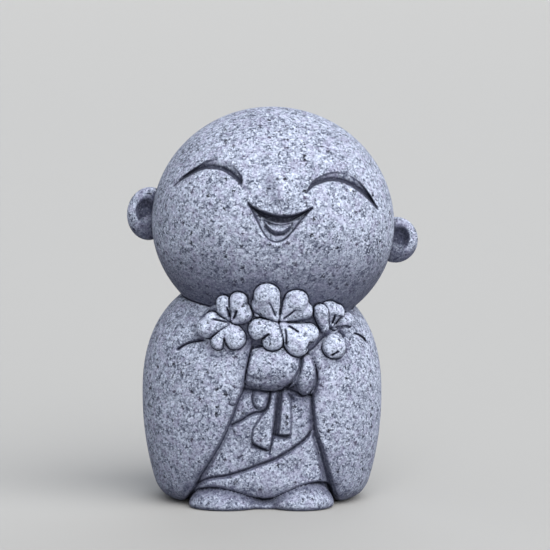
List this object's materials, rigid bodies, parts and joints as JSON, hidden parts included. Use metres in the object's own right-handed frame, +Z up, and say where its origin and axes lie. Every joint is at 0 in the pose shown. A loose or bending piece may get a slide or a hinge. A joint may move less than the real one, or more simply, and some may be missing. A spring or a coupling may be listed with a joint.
{
  "type": "monk figurine",
  "caption": "Small cast-stone figurine of a laughing bald monk in a robe, holding blossoms to his chest, with a flat underside to stand on.",
  "frame": {"origin": "on the flat underside, in the middle of the body's width and depth, at the level of the surface it stands on", "axes": "+Z up, -Y towards the viewer that the figure faces, +X to that viewer's right"},
  "size_m": [0.0555, 0.0399, 0.075],
  "materials": {
    "stone": "matte blue-grey granular cast stone with pale grains, dark specks and small pits, and a near-black blue wash left in the carving"
  },
  "bodies": {
    "root": {"monk_figurine": "stone"}
  },
  "joints": []
}
